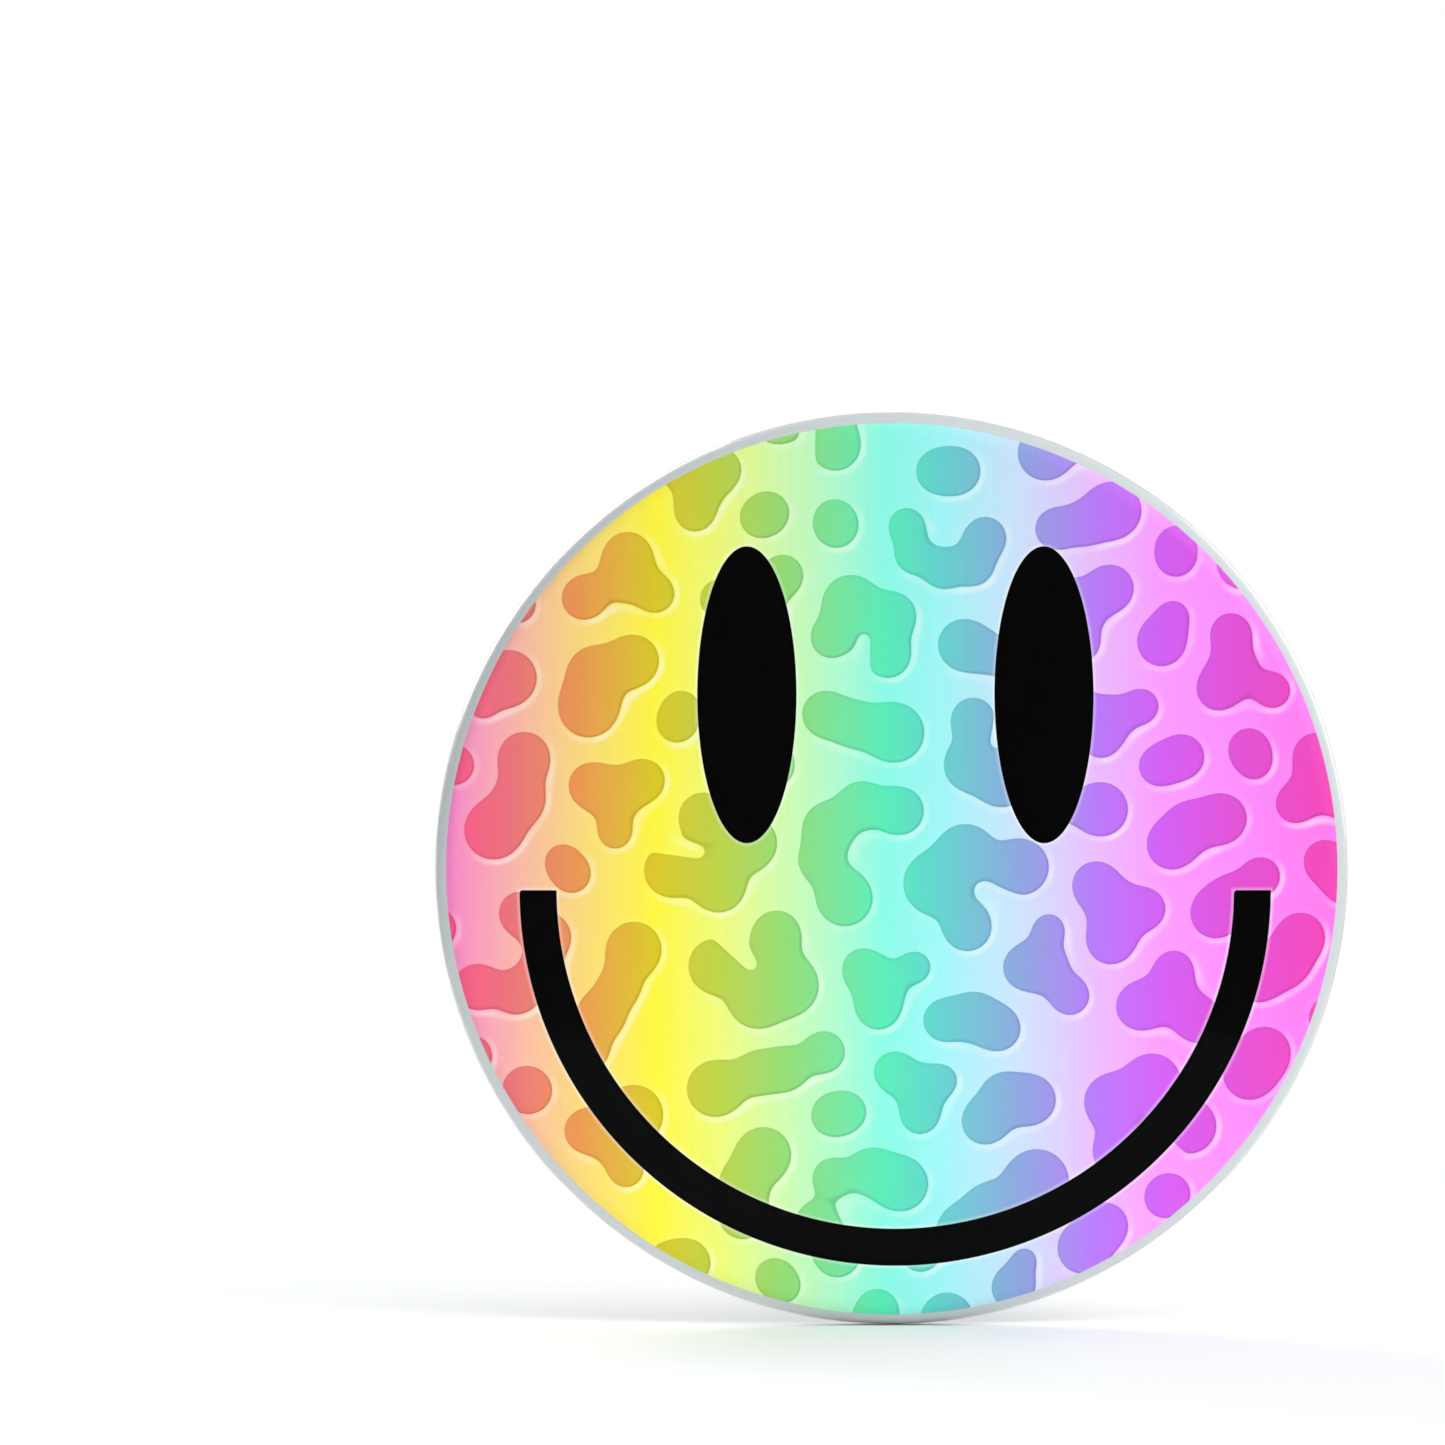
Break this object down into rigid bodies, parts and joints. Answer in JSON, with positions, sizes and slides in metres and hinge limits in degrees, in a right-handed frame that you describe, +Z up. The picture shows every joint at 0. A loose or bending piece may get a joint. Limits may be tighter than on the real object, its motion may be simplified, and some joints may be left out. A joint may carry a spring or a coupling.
{
  "type": "magnet badge",
  "caption": "Round domed crimped badge: clear film and printed paper over a metal shell, a beaded back plate and a flexible magnet disc glued into it.",
  "frame": {"origin": "centre of the magnet's back face, the face that lies on a steel door", "axes": "+Y is the badge's axis and points out of the magnet's back face, so the printed front looks towards -Y; +Z is up as the print is read, and +X is to the right of a person who looks at the print"},
  "size_m": [0.058, 0.005, 0.058],
  "materials": {
    "clear_film": "gloss",
    "printed_paper": "matte",
    "bright_tinplate": "satin",
    "dark_tinplate": "polished",
    "adhesive": "satin",
    "magnet_sheet": "matte"
  },
  "bodies": {
    "root": {"clear_film": "clear_film", "printed_paper": "printed_paper", "front_shell": "bright_tinplate", "back_plate": "dark_tinplate", "adhesive_layer": "adhesive", "magnet_disc": "magnet_sheet"}
  },
  "joints": []
}
